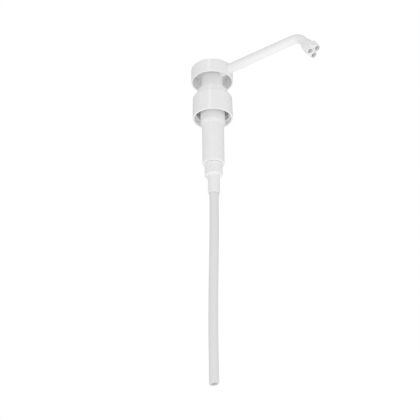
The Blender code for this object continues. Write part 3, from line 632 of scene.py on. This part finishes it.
collar = lathe(
    [
        (16.5, COLLAR_TOP, 1.0), (16.5, COLLAR_LOW, 0.2), (14.5, COLLAR_LOW), (14.5, 8.1), (15.0, 8.1),
        (15.0, 9.9), (14.5, 9.9), (14.5, 12.9), (12.2, 12.9), (12.2, COLLAR_TOP, 0.4),
    ]
)
stand_for(finished("lock_collar_moulding", collar, gloss_white), "lock_collar", "pump")


def screw_cap():
    skirt = lathe(
        [
            (21.2, CAP_TOP, 1.4), (21.6, CAP_LOW, 0.35), (20.0, CAP_LOW, 0.2), (19.6, -18.6),
            (19.4, 3.8, 0.5), (14.6, 3.8), (14.6, CAP_TOP, 0.3),
        ]
    )
    cap = finished("screw_cap_moulding", skirt, gloss_white)
    centres, turns, radii = [], [], []
    whole = THREAD_TURNS * THREAD_STEPS
    for step in range(int(whole) + 1):
        angle = 2 * pi * step / THREAD_STEPS
        fade = min(1.0, min(step, whole - step) / THREAD_FADE_STEPS)
        height = THREAD_LOW + THREAD_PITCH * step / THREAD_STEPS
        centres.append((THREAD_R * cos(angle), THREAD_R * sin(angle), height))
        turns.append(Matrix.Rotation(angle, 3, "Z") @ Matrix.Rotation(pi / 2, 3, "X"))
        radii.append(THREAD_END_THICK + THREAD_SWELL * fade)
    carve(cap, sweep(centres, turns, radii, segments=16), "UNION")
    return settle(cap)


stand_for(screw_cap(), "screw_cap", "cap")

# %% [markdown]
# ## The pump body
# One long moulding: a flange with a short chimney above it, a wide sleeve that takes the head's sleeve, a
# cone, the pump's cylinder, and a spigot for the foot valve. All of it is one outline.

# %% Pump body
VENT_R, VENT_Z = 0.9, -10
body_outline = [
    (14.2, 12.6, 0.4), (14.2, 9.5), (14.7, 9.0, 0.2), (14.2, 8.5), (14.2, 3.5, 0.3), (18.2, 3.5, 0.3),
    (18.2, 1.5, 0.3), (13.2, 1.5, 0.6), (13.2, -26.6, 1.0), (11.8, -31.1, 1.0), (11.55, -76.4, 1.2),
    (6.9, -76.4), (6.9, -81.05), (6.1, -81.05), (6.1, -82.55), (6.9, -82.55), (6.9, -85.0, 0.3),
    (5.4, -85.0), (5.4, -76.4), (3.6, -76.4), (3.6, -74.4), (10.0, -74.4, 0.4), (10.0, -24.5, 0.3),
    (12.1, -24.5, 0.3), (12.1, 12.6, 0.3),
]
pump_body = finished("pump_body_moulding", lathe(body_outline), satin_white)
vent = pillar(VENT_R, -26, 26, 24)
bmesh.ops.rotate(vent, verts=vent.verts, cent=(0, 0, 0), matrix=Matrix.Rotation(pi / 2, 3, "X"))
bmesh.ops.translate(vent, verts=vent.verts, vec=(0, 0, VENT_Z * MM))
carve(pump_body, vent)
stand_for(settle(pump_body), "pump_body", "pump")

# %% [markdown]
# ## The foot valve housing
# A sleeve snapped over the body's spigot, with a bead at its top, four ribs that run down its side and
# under it to the dip tube's socket, and a shallow pocket beside one rib. Sleeve and socket are turned; a
# rib is one flat outline extruded to its thickness.

# %% Foot valve housing
FOOT_TOP, FOOT_LOW, SOCKET_LOW = -76.7, -89.9, -111.0
RIB_WIDE = 2.2
RIB_TURN = 17.0
POCKET_TURN = -56.0
POCKET_SIZE, POCKET_CENTRE = (1.8, 3.6, 5.4), (9.0, 0, -86.0)


def rib():
    outline = [
        (7.7, -77.8), (9.6, -77.8), (9.6, FOOT_LOW + 0.3), (9.0, FOOT_LOW - 0.2), (5.85, FOOT_LOW - 3.6),
        (5.45, FOOT_LOW - 3.6), (5.45, FOOT_LOW + 0.6), (7.7, FOOT_LOW + 0.6),
    ]
    shape = bmesh.new()
    face = shape.faces.new([shape.verts.new((r * MM, -RIB_WIDE / 2 * MM, z * MM)) for r, z in outline])
    grown = bmesh.ops.extrude_face_region(shape, geom=[face])
    moved = [part for part in grown["geom"] if isinstance(part, bmesh.types.BMVert)]
    bmesh.ops.translate(shape, verts=moved, vec=(0, RIB_WIDE * MM, 0))
    bmesh.ops.recalc_face_normals(shape, faces=shape.faces)
    outer = [edge for edge in shape.edges if all(vert.co.x > 0.0095 for vert in edge.verts)]
    outer = [edge for edge in outer if abs(edge.verts[0].co.z - edge.verts[1].co.z) > 0.001]
    bmesh.ops.bevel(
        shape, geom=outer, offset=0.35 * MM, offset_type="OFFSET", segments=3, profile=0.5, affect="EDGES",
        material=-1,
    )
    return shape


def foot_valve_housing():
    sleeve = lathe(
        [
            (9.5, FOOT_TOP, 0.3), (9.5, -78.2, 0.3), (9.0, -78.7), (9.0, FOOT_LOW, 0.6),
            (6.15, FOOT_LOW, 0.5), (6.15, SOCKET_LOW, 0.4), (5.05, SOCKET_LOW, 0.2), (5.05, -92.5),
            (3.7, -92.5), (2.6, -88.9), (2.6, -87.7), (5.0, -85.3), (7.2, -85.3), (7.2, FOOT_TOP, 0.2),
        ],
        steps=80,
    )
    housing = finished("foot_valve_moulding", sleeve, satin_white)
    for number in range(4):
        fin = rib()
        way = Matrix.Rotation(radians(RIB_TURN + 90 * number), 3, "Z")
        bmesh.ops.rotate(fin, verts=fin.verts, cent=(0, 0, 0), matrix=way)
        carve(housing, fin, "UNION")
    pocket = block(POCKET_SIZE, POCKET_CENTRE, 0.3)
    bmesh.ops.rotate(
        pocket, verts=pocket.verts, cent=(0, 0, 0), matrix=Matrix.Rotation(radians(POCKET_TURN), 3, "Z")
    )
    carve(housing, pocket)
    return settle(housing)


stand_for(foot_valve_housing(), "foot_valve_housing", "pump")

# %% [markdown]
# ## The dip tube
# A length cut from a coil keeps a slight bow. The tube is turned straight, in short rings, and each ring is
# then moved aside by the bow at its height. A tilted block cuts its foot, as a blade leaves it.

# %% Dip tube
DIP_R, DIP_BORE_R = 4.75, 3.70
DIP_TOP, DIP_LOW = -92.8, -313.4
UNCUT_LOW = DIP_LOW - 4
DIP_BOW, DIP_BOW_SPAN, DIP_BOW_TURN, DIP_CUT_TILT = 2.9, 160.0, 212.0, 8.5


def dip_centre(height):
    share = min(1.0, max(0.0, (SOCKET_LOW - height) / DIP_BOW_SPAN))
    drift = DIP_BOW * share * share * (3 - 2 * share)
    return Vector((drift * cos(radians(DIP_BOW_TURN)), drift * sin(radians(DIP_BOW_TURN)), height))


def dip_tube():
    shape = lathe(
        [(DIP_R, DIP_TOP), (DIP_R, UNCUT_LOW), (DIP_BORE_R, UNCUT_LOW), (DIP_BORE_R, DIP_TOP)],
        steps=64, longest=6,
    )
    for vert in shape.verts:
        centre = dip_centre(vert.co.z / MM)
        vert.co.x += centre.x * MM
        vert.co.y += centre.y * MM
    tube = finished("dip_tube_extrusion", shape, tube_milk, 50)
    blade = block((40, 40, 20), (0, 0, -10))
    tilt = Matrix.Rotation(radians(-DIP_CUT_TILT), 4, "Y")
    end = dip_centre(DIP_LOW)
    end.z += DIP_R * tan(radians(DIP_CUT_TILT))
    bmesh.ops.transform(blade, verts=blade.verts, matrix=Matrix.Translation(end * MM) @ tilt)
    carve(tube, blade)
    return settle(tube, 50)


stand_for(dip_tube(), "dip_tube", "pump")

# %% [markdown]
# ## The pieces inside
# The stem, seals, guide, valve parts and spring hardly show. Their CAD shapes are right as they are, so
# they only get a finish: the piece's own material slots are given the new materials.

# %% Inner pieces
INNER_FINISHES = {
    "plunger_stem": satin_white,
    "piston_seal": soft_seal,
    "discharge_valve_seat": satin_white,
    "discharge_ball": ball_steel,
    "stem_guide": satin_white,
    "stem_wiper": soft_seal,
    "return_spring": spring_steel,
    "neck_gasket": foam,
    "foot_ball": ball_steel,
    "foot_ball_cage": satin_white,
    "foot_seal_ring": soft_seal,
}
for node, look in INNER_FINISHES.items():
    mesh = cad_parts[node].data
    mesh.materials.clear()
    mesh.materials.append(look)
print(len(INNER_FINISHES), "inner pieces finished")
